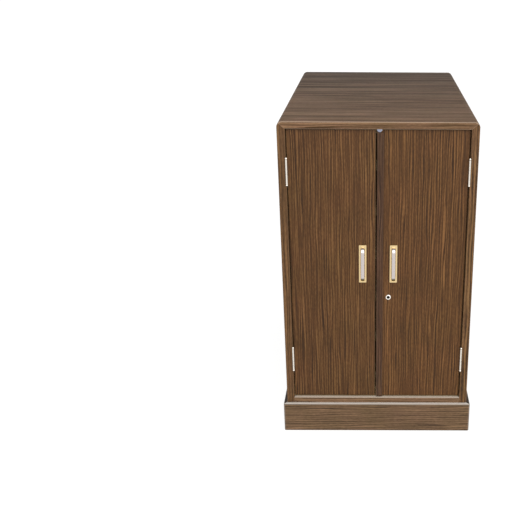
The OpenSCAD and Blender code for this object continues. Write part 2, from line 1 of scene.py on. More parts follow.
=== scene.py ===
# A two-door chest in burnt paulownia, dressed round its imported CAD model. Metres, Z up,
# the doors face -Y. The sections follow the chest as it is put together.
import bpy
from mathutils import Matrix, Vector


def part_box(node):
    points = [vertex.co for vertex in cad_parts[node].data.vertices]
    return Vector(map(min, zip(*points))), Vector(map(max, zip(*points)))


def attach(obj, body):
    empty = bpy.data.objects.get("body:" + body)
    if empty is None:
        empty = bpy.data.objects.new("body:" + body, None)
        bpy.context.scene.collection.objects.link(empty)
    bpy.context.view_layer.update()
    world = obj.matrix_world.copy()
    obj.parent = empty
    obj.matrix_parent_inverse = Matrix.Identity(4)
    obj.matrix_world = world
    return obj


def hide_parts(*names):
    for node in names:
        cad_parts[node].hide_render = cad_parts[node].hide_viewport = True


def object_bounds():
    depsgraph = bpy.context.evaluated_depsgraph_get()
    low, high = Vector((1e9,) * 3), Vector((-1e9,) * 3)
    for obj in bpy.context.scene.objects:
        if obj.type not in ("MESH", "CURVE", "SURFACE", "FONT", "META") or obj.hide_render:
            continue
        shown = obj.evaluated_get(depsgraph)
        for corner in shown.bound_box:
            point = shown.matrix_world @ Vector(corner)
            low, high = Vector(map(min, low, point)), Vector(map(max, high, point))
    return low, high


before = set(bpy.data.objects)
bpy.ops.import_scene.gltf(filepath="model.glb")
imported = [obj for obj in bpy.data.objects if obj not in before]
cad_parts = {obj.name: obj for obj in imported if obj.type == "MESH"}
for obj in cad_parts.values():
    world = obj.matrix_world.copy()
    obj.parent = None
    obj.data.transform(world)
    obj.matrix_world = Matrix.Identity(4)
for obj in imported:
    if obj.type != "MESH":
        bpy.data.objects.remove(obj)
cad_box = [list(corner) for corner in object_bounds()]

import math

import bmesh
import bpy
from mathutils import Matrix, Vector

# ---------- plinth ----------
# Four boards of burnt paulownia, mitred at the corners, that the case stands on. The wood was
# scorched, brushed along the grain so that the soft part of each year's growth sank, and waxed.
# The grain runs along each board.

MM = 0.001


def linear(code):
    """An sRGB hex colour as linear RGBA."""
    parts = [int(code[i : i + 2], 16) / 255 for i in (1, 3, 5)]
    return [p / 12.92 if p <= 0.04045 else ((p + 0.055) / 1.055) ** 2.4 for p in parts] + [1.0]


def add(tree, kind, sockets=None, **settings):
    """Adds a shader node: settings are its properties, sockets its inputs' values or links."""
    made = tree.nodes.new("ShaderNode" + kind)
    for name, value in settings.items():
        setattr(made, name, value)
    for name, value in (sockets or {}).items():
        if isinstance(value, bpy.types.NodeSocket):
            tree.links.new(value, made.inputs[name])
        else:
            made.inputs[name].default_value = value
    return made


def blank(name):
    """A new material and its empty node tree."""
    made = bpy.data.materials.new(name)
    made.use_nodes = True
    made.node_tree.nodes.clear()
    return made, made.node_tree


def dress(material, *names):
    """Gives CAD nodes a material."""
    for name in names:
        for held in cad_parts[name].material_slots:
            held.material = material


def sawn_board(tree, along, across, stave):
    """Where a point lies in boards glued up from staves: X over the growth rings and Y along
    the grain, in metres, and Z a number for the stave. along and across are the axes X, Y or Z,
    and stave is the staves' width."""
    tilt = 0.9                          # the rings lean, so the boards' edges show them too
    sway, bends = 5 * MM, 2.2           # how far the grain wanders, and how often in a metre
    strangers = 3.7                     # how far apart two neighbouring staves lie in the noise
    place = add(tree, "TexCoord").outputs["Object"]
    axes = add(tree, "SeparateXYZ", {0: place}).outputs
    through = next(a for a in "XYZ" if a not in (along, across))
    widths = add(tree, "Math", {0: axes[across], 1: stave}, operation="DIVIDE")
    number = add(tree, "Math", {0: widths.outputs[0]}, operation="FLOOR")
    apart = add(tree, "Math", {0: number.outputs[0], 1: strangers}, operation="MULTIPLY")
    wander = add(tree, "TexNoise", {"Vector": place, "Scale": bends, "Detail": 1.0})
    bent = add(tree, "Math", {0: wander.outputs[0], 1: sway}, operation="MULTIPLY")
    leaning = add(tree, "Math", {0: axes[through], 1: tilt, 2: bent.outputs[0]},
                  operation="MULTIPLY_ADD")
    rings = add(tree, "Math", {0: axes[across], 1: leaning.outputs[0]}, operation="ADD")
    return add(tree, "CombineXYZ", {"X": rings.outputs[0], "Y": axes[along],
                                    "Z": apart.outputs[0]}).outputs[0]


def streak(tree, board, lot, pitch, run):
    """Noise drawn out along the grain: pitch is the streaks' width over the rings and run the
    length over which one keeps its tone, both in metres. Each lot of wood and each pitch takes
    a part of the noise of its own."""
    own_part = (lot, lot * 1.7, pitch * 997)
    scaled = add(tree, "VectorMath", {0: board, 1: (1 / pitch, 1 / run, 1.0)},
                 operation="MULTIPLY")
    moved = add(tree, "VectorMath", {0: scaled.outputs[0], 1: own_part}, operation="ADD")
    return add(tree, "TexNoise", {"Vector": moved.outputs[0], "Scale": 1.0,
                                  "Detail": 1.0}).outputs[0]


def streaks(tree, board, lot, layers, total=0.0):
    """Adds up streaks; each layer is a pitch, a run and a share of the sum."""
    for pitch, run, share in layers:
        noise = streak(tree, board, lot, pitch, run)
        total = add(tree, "Math", {0: noise, 1: share, 2: total},
                    operation="MULTIPLY_ADD").outputs[0]
    return total


NOISE_SPAN = {"From Min": 0.3, "From Max": 0.7}     # where most of a noise's values lie


def year_rings(tree, board, lot, pitch, run, share):
    """Year rings about pitch wide that keep their place over run, times share. Good and bad
    years differ in width and in how dark they are."""
    adrift, strongest = 2.2, 1.8        # how many rings one may wander, and the darkest's force
    drift = streak(tree, board, lot, 1.7 * pitch, run)
    over = add(tree, "SeparateXYZ", {0: board}).outputs["X"]
    even = add(tree, "Math", {0: over, 1: 1 / pitch}, operation="MULTIPLY").outputs[0]
    years = add(tree, "Math", {0: drift, 1: adrift, 2: even}, operation="MULTIPLY_ADD").outputs[0]
    angle = add(tree, "Math", {0: years, 1: 2 * math.pi}, operation="MULTIPLY").outputs[0]
    wave = add(tree, "Math", {0: angle}, operation="SINE").outputs[0]
    force = add(tree, "MapRange", {"Value": streak(tree, board, lot + 5, 1.3 * pitch, run),
                                   **NOISE_SPAN, "To Max": strongest}).outputs[0]
    wave = add(tree, "Math", {0: wave, 1: force}, operation="MULTIPLY").outputs[0]
    return add(tree, "Math", {0: wave, 1: share / 2, 2: share / 2},
               operation="MULTIPLY_ADD").outputs[0]


def tone_ramp(tree, tone, tones):
    """A colour ramp with the tones, sRGB hex, evenly spaced from dark to light."""
    ramp = add(tree, "ValToRGB", {"Fac": tone})
    knobs = ramp.color_ramp.elements
    while len(knobs) < len(tones):
        knobs.new(0.5)
    for i, colour in enumerate(tones):
        knobs[i].position = i / (len(tones) - 1)
        knobs[i].color = linear(colour)
    return ramp.outputs[0]


def brushed_grain(tree, board, lot, bands, spread):
    """The brushed grain's height, and its tone from 0 in a burnt valley to 1 on a proud ridge."""
    ring_share = 0.24
    # After the bands come streaks of 9 and 2.4 mm, soft bundles of 1.4 mm, and fibres, which are
    # drawn 0.5 mm wide because their real width wouldn't show. Each has a pitch, run and share
    layers = (bands, (9 * MM, 250 * MM, 0.1), (2.4 * MM, 90 * MM, 0.3), (1.4 * MM, 8 * MM, 0.3),
              (0.5 * MM, 12 * MM, 0.1))
    rings = year_rings(tree, board, lot, 5.6 * MM, 150 * MM, ring_share)
    height = streaks(tree, board, lot, layers, rings)
    middle = (ring_share + sum(share for _, _, share in layers)) / 2
    tone = add(tree, "MapRange", {"Value": height, "From Min": middle - spread,
                                  "From Max": middle + spread}).outputs[0]
    return height, tone


def flamed(tree, board, wood):
    """The wood's colour as the flame left it, which took each stave a little differently, and
    each patch of about 60 mm, from a greener brown to a redder one."""
    stave_play, patch_play = 0.06, 0.07     # how much lighter or darker each may be
    number = add(tree, "SeparateXYZ", {0: board}).outputs["Z"]
    chance = add(tree, "TexWhiteNoise", {"W": number}, noise_dimensions="1D").outputs["Value"]
    stave_tone = add(tree, "MapRange", {"Value": chance, "To Min": 1 - stave_play,
                                        "To Max": 1 + stave_play})
    place = add(tree, "TexCoord").outputs["Object"]
    cloud = add(tree, "TexNoise", {"Vector": place, "Scale": 1 / (60 * MM),
                                   "Detail": 2.0}).outputs["Fac"]
    soot = add(tree, "MapRange", {"Value": cloud, **NOISE_SPAN, "To Min": 1 - patch_play,
                                  "To Max": 1 + patch_play})
    both = add(tree, "Math", {0: soot.outputs[0], 1: stave_tone.outputs[0]}, operation="MULTIPLY")
    scorched = add(tree, "VectorMath", {0: wood, 1: both.outputs[0]}, operation="MULTIPLY")
    tint = add(tree, "Mix", {"Factor": cloud, "A": (1.0, 1.03, 0.9, 1),
                             "B": (1.0, 0.93, 1.04, 1)}, data_type="RGBA")
    return add(tree, "VectorMath", {0: scorched.outputs[0], 1: tint.outputs["Result"]},
               operation="MULTIPLY").outputs[0]


def worn_and_highlit_arrises(tree, wear_and_highlight):
    """How far an arris is painted paler, over about a millimetre: worn wood, and a painted
    highlight.
    """
    flat, folded = 0.98, 0.8            # the cosines between which an arris begins to show
    rounded = add(tree, "Bevel", {"Radius": 1.2 * MM}, samples=4).outputs[0]
    facet = add(tree, "NewGeometry").outputs["True Normal"]
    turned = add(tree, "VectorMath", {0: rounded, 1: facet}, operation="DOT_PRODUCT")
    sharp = add(tree, "MapRange", {"Value": turned.outputs["Value"], "From Min": flat,
                                   "From Max": folded, "To Max": wear_and_highlight}).outputs[0]
    # Those round the front are eased in the CAD model, so that the test above misses them. Over
    # one, the square of the normal's Y falls from 1 to 0, and all but that fall's ends are painted
    # paler. The normal is taken in the piece's own frame, so that an open door keeps its pale
    # arrises
    midway, reach = 0.5, 0.45
    own = add(tree, "VectorTransform", {0: rounded}, vector_type="NORMAL",
              convert_from="WORLD", convert_to="OBJECT").outputs[0]
    front = add(tree, "SeparateXYZ", {0: own}).outputs["Y"]
    square = add(tree, "Math", {0: front, 1: front}, operation="MULTIPLY").outputs[0]
    eased = add(tree, "Math", {0: square, 1: midway, 2: reach}, operation="COMPARE").outputs[0]
    eased = add(tree, "Math", {0: eased, 1: wear_and_highlight}, operation="MULTIPLY").outputs[0]
    return add(tree, "Math", {0: sharp, 1: eased}, operation="MAXIMUM").outputs[0]


PLANED = ("#a5855c", "#c9ae84", "#dcc69d")  # paulownia that saw no flame, from dark line to pale
DOOR_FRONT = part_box("left_door")[0][1]      # the plane at which the flame stopped


def burnt_paulownia(name, along, across, tones, worn_highlight_colour, stave=52 * MM, lot=0.0, spread=0.27,
                    bands=(24 * MM, 1200 * MM, 0.17), wear_and_highlight=0.5, ledge=0.0, bare=None, least=0.7,
                    upward_darkening=None, rough=0.5, shine=0.25):
    """Scorched, brushed and waxed paulownia. The eye sees close, straight, dark streaks between
    ridges that catch the light, staves that differ a little, and arrises painted paler: worn
    wood, and a painted highlight.

    tones run from the burnt valley to the proud ridge, over spread to each side of the grain's
    middle height, and bands are its broadest streaks: their pitch, run and share. lot is the
    wood's own part of the noise. worn_highlight_colour is the colour of the arrises, and
    wear_and_highlight how far they are painted to it: worn wood, and a painted highlight. ledge
    is how far the faces that look up are painted to that colour too: dust, and a painted sheen.
    bare is the way that the board's inner face looks, which was planed and never saw the flame,
    and least the cosine with it that makes a face an inner one. upward_darkening is what is left
    of the colour of faces that look up, at the chest's front and at its back. rough and shine are
    the wax's roughness and specular level."""
    made, tree = blank(name)
    board = sawn_board(tree, along, across, stave)
    height, tone = brushed_grain(tree, board, lot, bands, spread)
    colour = flamed(tree, board, tone_ramp(tree, tone, tones))
    # The place and the normal on the shut chest, so that an open door keeps its looks
    at_rest = add(tree, "TexCoord").outputs
    normal = at_rest["Normal"]
    upward = add(tree, "SeparateXYZ", {0: normal}).outputs["Z"]
    back = add(tree, "SeparateXYZ", {0: at_rest["Object"]}).outputs["Y"]
    if upward_darkening:
        darkening = add(tree, "MapRange", {
            "Value": back, "From Min": cad_box[0][1], "From Max": cad_box[1][1],
            "To Min": upward_darkening[0], "To Max": upward_darkening[1]}).outputs[0]
        # It fades away over the rounded shoulders
        darkening = add(tree, "MapRange", {"Value": upward, "From Min": 0.1, "From Max": 0.6,
                                      "To Min": 1.0, "To Max": darkening}).outputs[0]
        colour = add(tree, "VectorMath", {0: colour, 1: darkening}, operation="MULTIPLY").outputs[0]
    if bare:
        facing = add(tree, "VectorMath", {0: normal, 1: bare}, operation="DOT_PRODUCT")
        inner = add(tree, "Math", {0: facing.outputs["Value"], 1: least}, operation="GREATER_THAN")
        behind = add(tree, "Math", {0: back, 1: DOOR_FRONT}, operation="GREATER_THAN")
        planed = add(tree, "Math", {0: inner.outputs[0], 1: behind.outputs[0]},
                     operation="MULTIPLY").outputs[0]
        colour = add(tree, "Mix", {"Factor": planed, "A": colour,
                                   "B": tone_ramp(tree, tone, PLANED)},
                     data_type="RGBA").outputs["Result"]
    pale_wear_and_highlight = worn_and_highlit_arrises(tree, wear_and_highlight)
    # Faces that look up are painted pale too: dust, and a painted sheen
    if ledge:
        dust_and_sheen = add(tree, "MapRange", {"Value": upward, "From Min": 0.5, "From Max": 0.95,
                                        "To Max": ledge}).outputs[0]
        if bare:
            outside = add(tree, "Math", {0: 1.0, 1: planed}, operation="SUBTRACT").outputs[0]
            dust_and_sheen = add(tree, "Math", {0: dust_and_sheen, 1: outside}, operation="MULTIPLY").outputs[0]
        pale_wear_and_highlight = add(tree, "Math", {0: pale_wear_and_highlight, 1: dust_and_sheen}, operation="MAXIMUM").outputs[0]
    # No cloth reaches the inner corners, so within 5 mm of one the paler arrises fade out, and
    # the colour is darkened to as little as 0.6 there: painted shade
    open_air = add(tree, "AmbientOcclusion", {"Distance": 5 * MM}, samples=4).outputs["AO"]
    reached = add(tree, "MapRange", {"Value": open_air, "From Min": 0.4, "From Max": 0.75})
    pale_wear_and_highlight = add(tree, "Math", {0: pale_wear_and_highlight, 1: reached.outputs[0]}, operation="MULTIPLY").outputs[0]
    corner = add(tree, "MapRange", {"Value": open_air, "From Min": 0.45, "From Max": 0.85,
                                    "To Min": 0.6, "To Max": 1.0}).outputs[0]
    colour = add(tree, "VectorMath", {0: colour, 1: corner}, operation="MULTIPLY").outputs[0]
    # Arrises, and faces that look up where ledge is set, are painted paler: worn wood and dust,
    # and a painted highlight and sheen
    colour = add(tree, "Mix", {"Factor": pale_wear_and_highlight, "A": colour, "B": linear(worn_highlight_colour)},
                 data_type="RGBA").outputs["Result"]
    # The sunk soft wood is rougher than the waxed ridges, which stand up to 0.8 mm proud
    uneven = add(tree, "MapRange", {"Value": tone, "To Min": rough + 0.12, "To Max": rough - 0.05})
    relief = add(tree, "Bump", {"Height": height, "Strength": 0.5, "Distance": 0.8 * MM})
    skin = add(tree, "BsdfPrincipled", {
        "Base Color": colour, "Roughness": uneven.outputs[0], "IOR": 1.5,
        "Specular IOR Level": shine, "Normal": relief.outputs[0]})
    add(tree, "OutputMaterial", {"Surface": skin.outputs[0]})
    return made


ONE_PIECE = 200 * MM                        # wider than any board that isn't glued up
plinth_tones = ("#3c2c1c", "#6c543c", "#9a7b5a")
# The plinth front's ledge and arrises are painted a pale grey: dust and worn wood, and a painted
# sheen and highlight
dress(burnt_paulownia("burnt_paulownia_plinth_front", "X", "Z", plinth_tones, "#dcd5cc",
                      stave=ONE_PIECE, lot=3.1, wear_and_highlight=0.15, ledge=1.0), "plinth_front")
dress(burnt_paulownia("burnt_paulownia_plinth_back", "X", "Z", plinth_tones, "#8d7660",
                      stave=ONE_PIECE, lot=4.3), "plinth_back")
# The sides' upward faces are painted dark: painted shade where the case shades them, and soot
dress(burnt_paulownia("burnt_paulownia_plinth_sides", "Y", "Z", plinth_tones, "#8d7660",
                      stave=ONE_PIECE, lot=7.7, upward_darkening=(0.3, 0.3)),
      "plinth_left", "plinth_right")

# ---------- glue blocks, back, runners and stops ----------
# Plain paulownia that the front hides while the doors are shut: the blocks in the plinth's
# corners, the back panel let into its rebates, and what the trays and the doors rest against.
# It was planed and left bare, and gives the eye a warm matt cream with faint brown lines.


def planed_paulownia(name, along, across, tones, lot=0.0, stave=120 * MM, sides=None):
    """Planed paulownia left without a finish: cream wood with fine brown growth lines. sides is
    how far from the middle the boards start that run front to back instead."""
    made, tree = blank(name)
    board = sawn_board(tree, along, across, stave)
    if sides:
        place = add(tree, "TexCoord").outputs["Object"]
        aside = add(tree, "SeparateXYZ", {0: place}).outputs["X"]
        aside = add(tree, "Math", {0: aside}, operation="ABSOLUTE").outputs[0]
        on_side = add(tree, "Math", {0: aside, 1: sides}, operation="GREATER_THAN").outputs[0]
        board = add(tree, "Mix", {"Factor": on_side, "A": board,
                                  "B": sawn_board(tree, "Y", across, stave)},
                    data_type="VECTOR").outputs["Result"]
    # Growth lines of 7 mm, lines of 2.5 mm in them, and fibres, drawn 0.8 mm wide to show at all
    grain = streaks(tree, board, lot, (
        (7 * MM, 1400 * MM, 0.4), (2.5 * MM, 500 * MM, 0.35), (0.8 * MM, 30 * MM, 0.25)))
    tone = add(tree, "MapRange", {"Value": grain, "From Min": 0.36, "From Max": 0.6}).outputs[0]
    relief = add(tree, "Bump", {"Height": grain, "Strength": 0.3, "Distance": 0.3 * MM})
    skin = add(tree, "BsdfPrincipled", {
        "Base Color": tone_ramp(tree, tone, tones), "Roughness": 0.72, "IOR": 1.5,
        "Normal": relief.outputs[0]})
    add(tree, "OutputMaterial", {"Surface": skin.outputs[0]})
    return made


dress(planed_paulownia("planed_paulownia_upright", "Z", "X", PLANED, lot=2.0),
      "plinth_blocks", "back_panel")
dress(planed_paulownia("planed_paulownia_runners", "Y", "Z", PLANED, lot=9.0),
      "tray_runners_left", "tray_runners_right")
dress(planed_paulownia("planed_paulownia_stops", "X", "Z", PLANED, lot=5.0),
      "door_stop_top", "door_stop_bottom")

# ---------- case ----------
# Top and sides of burnt paulownia, mitred where they meet and rounded over together, with the
# bottom board let into the sides. The grain goes round: up the sides and across the top. Only
# the outside is burnt: behind the doors the boards are planed and pale.

# The top shows broad dark bands, is duller than the front, and is darker towards its back. Its
# arrises are painted pale: worn wood, and a painted highlight
case_tones = ("#46321f", "#735840", "#9b7a5a")
dress(burnt_paulownia("burnt_paulownia_top", "X", "Y", case_tones, "#d3b9a2", stave=74 * MM,
                      lot=2.2, bands=(14 * MM, 400 * MM, 0.7), bare=(0, 0, -1),
                      upward_darkening=(0.8, 0.35), rough=0.6, shine=0.12), "top_panel")
# The bottom board's ledge before the doors is painted pale: dust, and a painted sheen
dress(burnt_paulownia("burnt_paulownia_bottom", "X", "Y", case_tones, "#d6c8b8", stave=74 * MM,
                      lot=4.6, wear_and_highlight=0.15, ledge=1.0, bare=(0, 0, 1)), "bottom_panel")
# Their front edges frame the doors, and the right one's grain stands out more
side_tones = ("#38250f", "#66482b", "#8d6a43")
for side, inwards, lot, spread in (("left", 1, 5.9, 0.22), ("right", -1, 13.9, 0.17)):
    dress(burnt_paulownia(f"burnt_paulownia_{side}_side", "Z", "Y", side_tones, "#8b6b4f",
                          stave=84 * MM, lot=lot, spread=spread, bare=(inwards, 0, 0)),
          f"{side}_side_panel")

# ---------- trays ----------
# Six pull-out trays of planed paulownia. The front's and the bottom's grain runs across the
# chest, the sides' from front to back.

tray_names = [f"tray_{i}" for i in range(1, 7)]
TRAY_WALL = 9 * MM
dress(planed_paulownia("planed_paulownia_trays", "X", "Z", ("#b1925f", "#d3b98c", "#e2cda6"),
                       lot=4.0, sides=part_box("tray_1")[1][0] - TRAY_WALL), *tray_names)

# ---------- pegs ----------
# Tapered pegs of hard deutzia wood hold the back panel in the case and the trays' fronts on
# their sides. They are driven home and cut off, and stand a hair proud. Their end grain drinks
# in dirt, and shows as small dark spots.

deutzia = planed_paulownia("deutzia_end_grain", "Y", "X", ("#5f452a", "#80613d", "#9a7a50"),
                           lot=8.0, stave=1000 * MM)
PEG_RINGS = ((1.5, -3.0), (1.7, 0.0), (1.5, 0.16))  # radius, and rise over the wood, in mm
PEG_CROWN = 0.24 * MM
PEG_FLATS = 10
WHITTLED = 0.06                                     # how uneven the knife left the flats


def pegs(name, spots, out):
    """Pegs with their heads at spots, driven against out, as one piece of the case."""
    shape = bmesh.new()
    side = out.orthogonal().normalized()
    over = out.cross(side)
    for i, spot in enumerate(spots):
        rings = []
        for radius, rise in PEG_RINGS:
            ring = []
            for k in range(PEG_FLATS):
                angle = 2 * math.pi / PEG_FLATS * k + i
                cut = radius * MM * (1 + WHITTLED * math.sin(3 * k + i))
                way = math.cos(angle) * side + math.sin(angle) * over
                ring.append(shape.verts.new(Vector(spot) + out * rise * MM + cut * way))
            rings.append(ring)
        middle = shape.verts.new(Vector(spot) + out * PEG_CROWN)
        for k in range(PEG_FLATS):
            n = (k + 1) % PEG_FLATS
            for low, high in zip(rings, rings[1:]):
                shape.faces.new((low[k], low[n], high[n], high[k]))
            shape.faces.new((rings[-1][k], rings[-1][n], middle))
        shape.faces.new(rings[0])
    bmesh.ops.recalc_face_normals(shape, faces=shape.faces)
    mesh = bpy.data.meshes.new(name)
    shape.to_mesh(mesh)
    shape.free()
    mesh.materials.append(deutzia)
    made = bpy.data.objects.new(name, mesh)
    bpy.context.scene.collection.objects.link(made)
    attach(made, "case")


def evenly(low, high, count):
    """count places from low to high."""
    return [low + i * (high - low) / (count - 1) for i in range(count)]


(x0, y0, z0), (x1, y1, z1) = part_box("back_panel")
EDGE = 7 * MM                           # from the back panel's edges to the pegs
rows = evenly(z0 + 9 * MM, z1 - 9 * MM, 8)
columns = evenly(x0 + 40 * MM, x1 - 40 * MM, 4)
spots = [(x, y1, z) for x in (x0 + EDGE, x1 - EDGE) for z in rows]
spots += [(x, y1, z) for x in columns for z in (z0 + EDGE, z1 - EDGE)]
pegs("back_pegs", spots, Vector((0, 1, 0)))
spots = []
for name in tray_names:
    (x0, y0, z0), (x1, y1, z1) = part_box(name)
    spots += [(x, y0, z0 + rise) for x in (x0 + TRAY_WALL / 2, x1 - TRAY_WALL / 2)
              for rise in (10 * MM, 27 * MM)]
pegs("tray_pegs", spots, Vector((0, -1, 0)))

# ---------- doors ----------
# Two doors, each glued up from upright staves of burnt paulownia and planed pale inside and on
# their edges, and the darker strip that is glued on the right door's free edge.

EDGES_TOO = -0.5                        # the cosine that counts a door's edges as inner faces
dress(burnt_paulownia("burnt_paulownia_left_door", "Z", "X", ("#2a1806", "#55371a", "#856038"),
                      "#74573a", lot=2.4, bare=(0, 1, 0), least=EDGES_TOO), "left_door")
dress(burnt_paulownia("burnt_paulownia_right_door", "Z", "X", ("#2d1a07", "#593a1c", "#8b6238"),
                      "#74573a", stave=47 * MM, lot=6.8, bare=(0, 1, 0), least=EDGES_TOO),
      "right_door")
dress(burnt_paulownia("burnt_paulownia_strip", "Z", "X", ("#241509", "#49301e", "#664a34"),
                      "#6d5340", stave=ONE_PIECE, lot=9.2, bare=(0, 1, 0), least=EDGES_TOO),
      "meeting_strip")

# ---------- hinges ----------
# Four butt hinges of nickel-plated steel: two leaves let in flush, their knuckles interleaved
# round one pin with ball tips. The plate was polished, and gives the eye a warm white metal
# with soft highlights.


def plated(name, colour, rough, grit, scratch, brushed=(1.0, 1.0, 1.0), mouth=None, under=None):
    """Plated metal with a fine uneven polish. grit is the polish marks' pitch, which is drawn
    coarser than the real one so that it shows, and brushed is how much closer they lie along
    each axis. mouth is the middle of a hole seen from the front, X and Z, and the radius within
    which the metal is painted black: painted shade in the hole, and dirt. under is the colour
    that the metal is painted where it looks down: a painted dark reflection."""
    clouds, patchy = 14 * MM, 1.25      # the width of patches, and how much duller one may be
    mark_depth = 0.05 * MM
    made, tree = blank(name)
    place = add(tree, "TexCoord").outputs["Object"]
    drawn = add(tree, "VectorMath", {0: place, 1: brushed}, operation="MULTIPLY")
    marks = add(tree, "TexNoise", {"Vector": drawn.outputs[0], "Scale": 1 / grit, "Detail": 2.0})
    cloud = add(tree, "TexNoise", {"Vector": place, "Scale": 1 / clouds, "Detail": 2.0})
    haze = add(tree, "MapRange", {"Value": cloud.outputs[0], **NOISE_SPAN,
                                  "To Min": rough / patchy, "To Max": rough * patchy})
    relief = add(tree, "Bump", {"Height": marks.outputs[0], "Strength": scratch,
                                "Distance": mark_depth})
    shade = linear(colour)
    if mouth:
        x, z, reach = mouth
        black, blur = "#14110d", 0.06
        flatly = add(tree, "VectorMath", {0: place, 1: (1, 0, 1)}, operation="MULTIPLY")
        away = add(tree, "VectorMath", {0: flatly.outputs[0], 1: (x, 0, z)}, operation="DISTANCE")
        edge = add(tree, "MapRange", {"Value": away.outputs["Value"],
                                      "From Min": reach * (1 - blur),
                                      "From Max": reach * (1 + blur)})
        shade = add(tree, "Mix", {"Factor": edge.outputs[0], "A": linear(black), "B": shade},
                    data_type="RGBA").outputs["Result"]
    if under:
        normal = add(tree, "TexCoord").outputs["Normal"]
        upward = add(tree, "SeparateXYZ", {0: normal}).outputs["Z"]
        dull = add(tree, "MapRange", {"Value": upward, "From Min": -0.05, "From Max": -0.4})
        shade = add(tree, "Mix", {"Factor": dull.outputs[0], "A": shade, "B": linear(under)},
                    data_type="RGBA").outputs["Result"]
    skin = add(tree, "BsdfPrincipled", {"Base Color": shade, "Metallic": 1.0,
                                        "Roughness": haze.outputs[0], "Normal": relief.outputs[0]})
    add(tree, "OutputMaterial", {"Surface": skin.outputs[0]})
    return made


nickel = plated("nickel_plated_steel", "#e6dfd4", 0.22, 0.6 * MM, 0.3)
for side in ("left", "right"):
    for level in ("upper", "lower"):
        for part in ("case_leaf", "door_leaf", "hinge_pin"):
            dress(nickel, f"{side}_{level}_{part}")

# ---------- screws ----------
# Slotted countersunk screws of zinc-plated steel, driven by hand, so that their slots stand at
# odd angles. They hold the hinge leaves and the lock case, and pull the handles on from inside.
# The zinc is greyer and duller to the eye than the nickel round it.

SLOT_WIDTH = 0.17                       # of the head's width
SLOT_DEPTH = 0.4                        # of the countersink's depth
POINT_LENGTH, POINT_WIDTH = 2.0, 0.2    # of the shank's radius
HALF_HEAD = 12                          # points round each half of the head
WELD = 0.001 * MM


def slotted_screw(shape, face, ahead, spin, radii, sink, length):
    """Adds a screw to a bmesh: face is the middle of its head, ahead the way it was driven, radii
    those of the head and the shank, and sink the countersink's depth."""
    head, shank = radii
    side = ahead.orthogonal().normalized()
    over = ahead.cross(side)
    slot, edge = SLOT_DEPTH * sink, math.asin(SLOT_WIDTH)   # its depth, and the angle to its edge

    def ring(radius, down, angles):
        return [shape.verts.new(face + ahead * down + radius * (
            math.cos(a + spin) * side + math.sin(a + spin) * over)) for a in angles]

    arc = evenly(edge, math.pi - edge, HALF_HEAD)
    halves, floor = [], []
    for turn in (0, math.pi):
        halves.append(ring(head, 0, [a + turn for a in arc]))
        floor.append(ring(head, slot, (arc[0] + turn, arc[-1] + turn)))
    for half, low in zip(halves, floor):
        shape.faces.new(half)
        shape.faces.new((half[0], half[-1], low[1], low[0]))
    shape.faces.new(floor[0] + floor[1])
    rim = []
    for half, low in zip(halves, floor):
        rim += [low[0]] + half + [low[1]]
    angles = [a + turn for turn in (0, math.pi) for a in [arc[0]] + arc + [arc[-1]]]
    for radius, down in ((shank, sink), (shank, length - POINT_LENGTH * shank),
                         (POINT_WIDTH * shank, length)):
        below = ring(radius, down, angles)
        for i in range(len(rim)):
            j = (i + 1) % len(rim)
            shape.faces.new((rim[i], rim[j], below[j], below[i]))
        rim = below
    shape.faces.new(rim)


def screws_in(node):
    """The screws of a CAD node: where each head is, which way it was driven, its head's and its
    shank's radius and its length."""
    shape = bmesh.new()
    shape.from_mesh(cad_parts[node].data)
    bmesh.ops.remove_doubles(shape, verts=shape.verts, dist=WELD)
    left, found = set(shape.verts), []
    while left:
        # One screw is all that hangs together in the mesh
        whole, fresh = set(), {left.pop()}
        while fresh:
            whole |= fresh
            fresh = {e.other_vert(v) for v in fresh for e in v.link_edges} - whole
        left -= whole
        spots = [v.co.copy() for v in whole]
        low, high = ([pick(c[i] for c in spots) for i in range(3)] for pick in (min, max))
        long = max(range(3), key=lambda i: high[i] - low[i])
        mid = Vector([(a + b) / 2 for a, b in zip(low, high)])
        # The head is the end whose rim lies farther from the middle
        reach = {}
        for end in (low[long], high[long]):
            reach[end] = max((c - mid).length for c in spots if abs(c[long] - end) < 10 * WELD)
        top = max(reach, key=lambda end: (round(reach[end], 6), end))
        face, ahead = mid.copy(), Vector((0, 0, 0))
        face[long] = top
        ahead[long] = math.copysign(1, mid[long] - top)
        half = (high[long] - low[long]) / 2
        radii = sorted(math.sqrt(max(r * r - half * half, 0)) for r in reach.values())[::-1]
        found.append((face, ahead, radii, 2 * half))
    shape.free()
    return sorted(found, key=lambda screw: tuple(screw[0]))


zinc = plated("zinc_plated_steel", "#c4bdb0", 0.3, 0.4 * MM, 0.4)
for node, body in (("case_leaf_screws", "case"), ("left_door_leaf_screws", "left_leaf"),
                   ("right_door_leaf_screws", "right_leaf"), ("left_handle_screws", "left_leaf"),
                   ("right_handle_screws", "right_leaf"), ("lock_case_screws", "right_leaf")):
    shape = bmesh.new()
    for i, (face, ahead, radii, length) in enumerate(screws_in(node)):
        spin = 1.1 * i + 0.3                    # radians, so that no two slots line up
        sink = max(0.6 * radii[0], 1 * MM)      # as deep as a countersunk head of that radius
        slotted_screw(shape, face, ahead, spin, radii, sink, length)
    bmesh.ops.remove_doubles(shape, verts=shape.verts, dist=WELD)
    bmesh.ops.recalc_face_normals(shape, faces=shape.faces)
    mesh = bpy.data.meshes.new("slotted_" + node)
    shape.to_mesh(mesh)
    shape.free()
    mesh.materials.append(zinc)
    made = bpy.data.objects.new("slotted_" + node, mesh)
    bpy.context.scene.collection.objects.link(made)
    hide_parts(node)
    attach(made, body)

